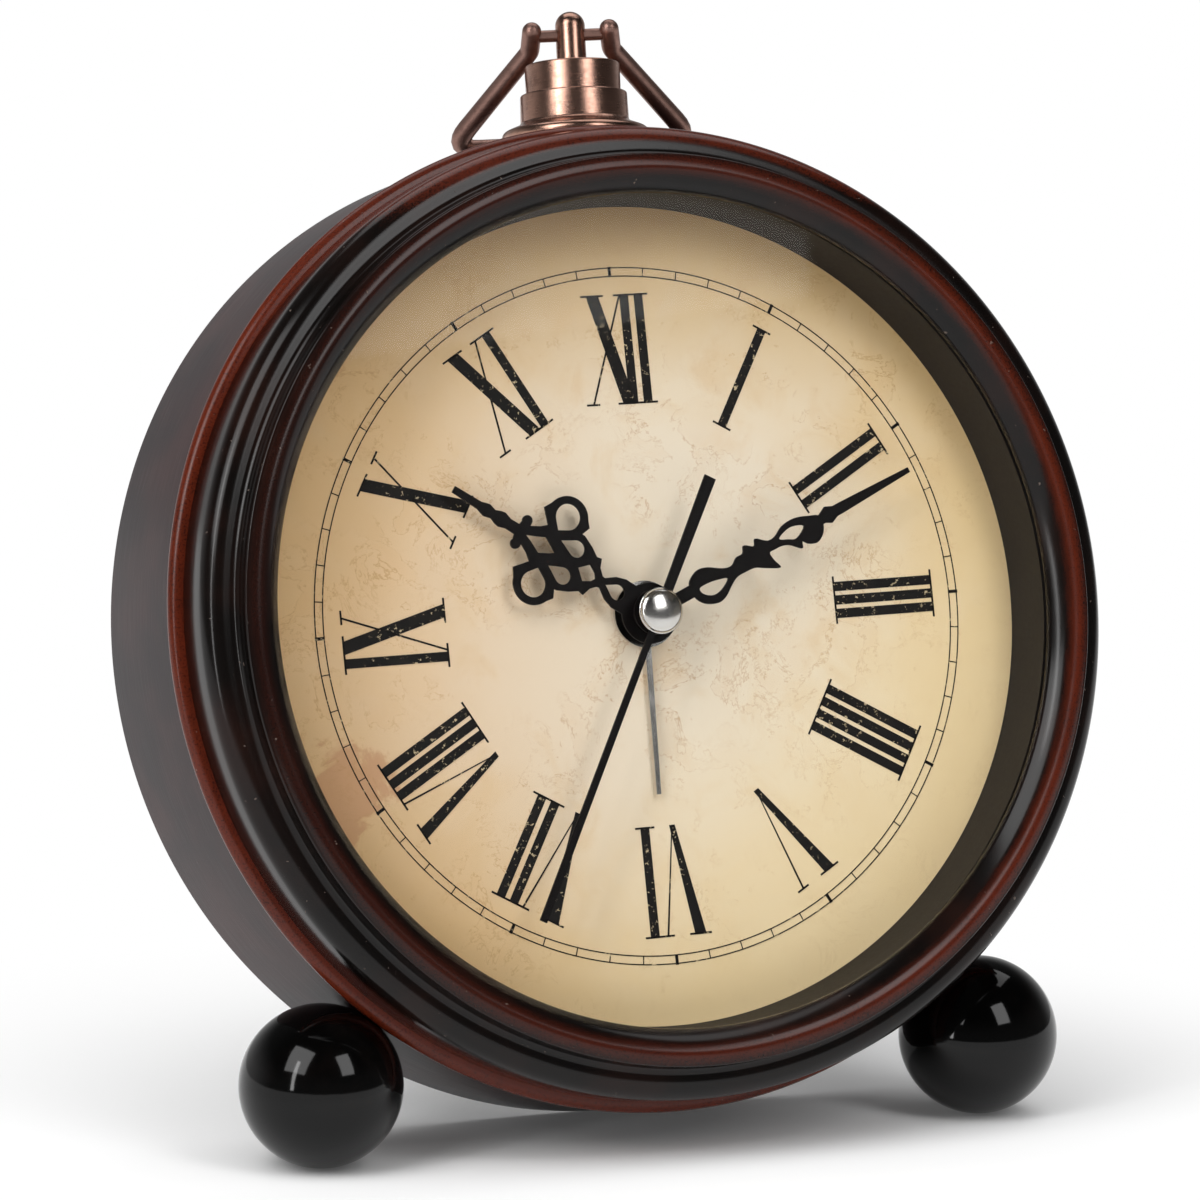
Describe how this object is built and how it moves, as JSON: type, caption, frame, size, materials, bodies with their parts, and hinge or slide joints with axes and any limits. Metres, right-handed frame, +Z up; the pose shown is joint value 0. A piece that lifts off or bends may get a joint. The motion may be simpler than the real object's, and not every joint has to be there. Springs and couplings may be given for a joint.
{
  "type": "table alarm clock",
  "caption": "Round table alarm clock with a stepped drum case on ball feet, folding bail handle, aged dial with Roman numerals, ornate hands and a battery quartz movement",
  "frame": {"origin": "centre of the bounding box in plan, on the table the feet and the rear edge stand on", "axes": "+Z up; the dial looks towards -Y and leans back; +X is to the right of someone facing the dial"},
  "size_m": [0.1304, 0.071, 0.1462],
  "materials": {
    "drum_lacquer": "worn semi-gloss lacquer with fine brushed streaks",
    "bezel_lacquer": "dark lacquer worn through to red-brown on the rim and crest",
    "clear_glass": "clear and flat",
    "spacer_grey": "satin dark grey",
    "dial_paper": "aged cream printed paper face on an aluminium sheet",
    "inner_ring": "moulded",
    "screw_steel": "plated",
    "gloss_black": "polished black",
    "antique_copper": "brushed antique copper plating with dark patina",
    "pillar_brass": "turned",
    "movement_white": "moulded",
    "wheel_brass": "stamped",
    "pinion_brass": "hobbed",
    "magnet_grey": "sintered",
    "stator_steel": "stamped",
    "coil_copper": "enamelled wire winding",
    "board_green": "etched laminate",
    "chip_black": "potting resin",
    "hand_black": "black paint",
    "polished_silver": "polished",
    "cover_black": "fine grained moulding",
    "knob_black": "moulded",
    "switch_grey": "moulded",
    "cell_jacket": "plain printed sleeve, no marking",
    "contact_steel": "plated spring steel",
    "lead_red": "insulated wire"
  },
  "bodies": {
    "case": {"case_drum": "drum_lacquer", "bezel": "bezel_lacquer", "glass_lens": "clear_glass", "spacer_ring": "spacer_grey", "dial_plate": "dial_paper", "dial_clamp_ring": "inner_ring", "dial_clamp_screws": "screw_steel", "ball_foot_left": "gloss_black", "ball_foot_right": "gloss_black", "foot_screws": "screw_steel", "handle_flange": "antique_copper", "handle_post": "antique_copper", "handle_screw": "screw_steel", "dial_pillars": "pillar_brass", "movement_front_plate": "movement_white", "movement_middle_plate": "movement_white", "movement_back_plate": "movement_white", "movement_fixing_screws": "screw_steel", "movement_screws": "screw_steel", "stator": "stator_steel", "coil": "coil_copper", "circuit_board": "board_green", "quartz_crystal": "contact_steel", "chip_cover": "chip_black", "rear_cover": "cover_black", "rear_cover_screws": "screw_steel", "buzzer": "wheel_brass", "battery": "cell_jacket", "battery_contact_plus": "contact_steel", "battery_contact_minus": "contact_steel", "battery_leads": "lead_red"},
    "bail": {"bail": "antique_copper"},
    "minute_hand": {"minute_hand": "hand_black", "cannon_pinion": "pinion_brass", "centre_wheel": "wheel_brass"},
    "hour_hand": {"hour_hand": "hand_black", "hour_wheel": "wheel_brass"},
    "second_hand": {"second_hand": "hand_black", "hand_cap": "polished_silver", "second_wheel": "wheel_brass"},
    "alarm_hand": {"alarm_hand": "polished_silver", "alarm_wheel": "wheel_brass"},
    "minute_wheel": {"minute_wheel": "pinion_brass"},
    "third_wheel": {"third_wheel": "wheel_brass"},
    "fifth_wheel": {"fifth_wheel": "pinion_brass"},
    "rotor": {"rotor": "magnet_grey"},
    "time_set": {"time_set_shaft": "pinion_brass", "time_set_knob": "knob_black"},
    "alarm_set": {"alarm_set_shaft": "pinion_brass", "alarm_set_knob": "knob_black"},
    "alarm_switch": {"alarm_switch": "switch_grey"},
    "battery_door": {"battery_door": "cover_black"}
  },
  "joints": [
    {"name": "bail_swing", "type": "hinge", "parent": "case", "child": "bail", "pos_m": [0.00208, 0.02138, 0.14301], "axis": [0.9394, -0.3389, 0.0524], "range_deg": [0, 275]},
    {"name": "minute_hand_turn", "type": "hinge", "parent": "case", "child": "minute_hand", "pos_m": [0, -0.00268, 0.06709], "axis": [0, 0.9748, -0.2232], "continuous": true},
    {"name": "hour_hand_turn", "type": "hinge", "parent": "case", "child": "hour_hand", "pos_m": [0, -0.00268, 0.06709], "axis": [0, 0.9748, -0.2232], "continuous": true},
    {"name": "second_hand_turn", "type": "hinge", "parent": "case", "child": "second_hand", "pos_m": [0, -0.00268, 0.06709], "axis": [0, 0.9748, -0.2232], "continuous": true},
    {"name": "alarm_hand_turn", "type": "hinge", "parent": "case", "child": "alarm_hand", "pos_m": [0, -0.00268, 0.06709], "axis": [0, 0.9748, -0.2232], "continuous": true},
    {"name": "minute_wheel_turn", "type": "hinge", "parent": "case", "child": "minute_wheel", "pos_m": [-0.00849, -0.00457, 0.05882], "axis": [0, 0.9748, -0.2232], "continuous": true},
    {"name": "third_wheel_turn", "type": "hinge", "parent": "case", "child": "third_wheel", "pos_m": [-0.0051, -0.00071, 0.0757], "axis": [0, 0.9748, -0.2232], "continuous": true},
    {"name": "fifth_wheel_turn", "type": "hinge", "parent": "case", "child": "fifth_wheel", "pos_m": [0.00958, -0.0019, 0.07049], "axis": [0, 0.9748, -0.2232], "continuous": true},
    {"name": "rotor_turn", "type": "hinge", "parent": "case", "child": "rotor", "pos_m": [0.01522, -0.00144, 0.07249], "axis": [0, 0.9748, -0.2232], "continuous": true},
    {"name": "time_set_turn", "type": "hinge", "parent": "case", "child": "time_set", "pos_m": [-0.01697, -0.00647, 0.05055], "axis": [0, 0.9748, -0.2232], "continuous": true},
    {"name": "alarm_set_turn", "type": "hinge", "parent": "case", "child": "alarm_set", "pos_m": [0.00905, -0.0047, 0.05827], "axis": [0, 0.9748, -0.2232], "continuous": true},
    {"name": "alarm_switch_slide", "type": "slide", "parent": "case", "child": "alarm_switch", "axis": [0, 0.2232, 0.9748], "range_m": [0, 0.004]},
    {"name": "battery_door_lift", "type": "slide", "parent": "case", "child": "battery_door", "axis": [0, 0.9748, -0.2232], "range_m": [0, 0.02]}
  ],
  "couplings": [
    {"joint": "hour_hand_turn", "follows": "minute_hand_turn", "ratio": 0.083333},
    {"joint": "minute_wheel_turn", "follows": "minute_hand_turn", "ratio": -0.33333},
    {"joint": "time_set_turn", "follows": "minute_hand_turn", "ratio": 1},
    {"joint": "third_wheel_turn", "follows": "minute_hand_turn", "ratio": -8},
    {"joint": "second_hand_turn", "follows": "minute_hand_turn", "ratio": 60},
    {"joint": "fifth_wheel_turn", "follows": "minute_hand_turn", "ratio": -450},
    {"joint": "rotor_turn", "follows": "minute_hand_turn", "ratio": 1800},
    {"joint": "alarm_set_turn", "follows": "alarm_hand_turn", "ratio": -3}
  ]
}
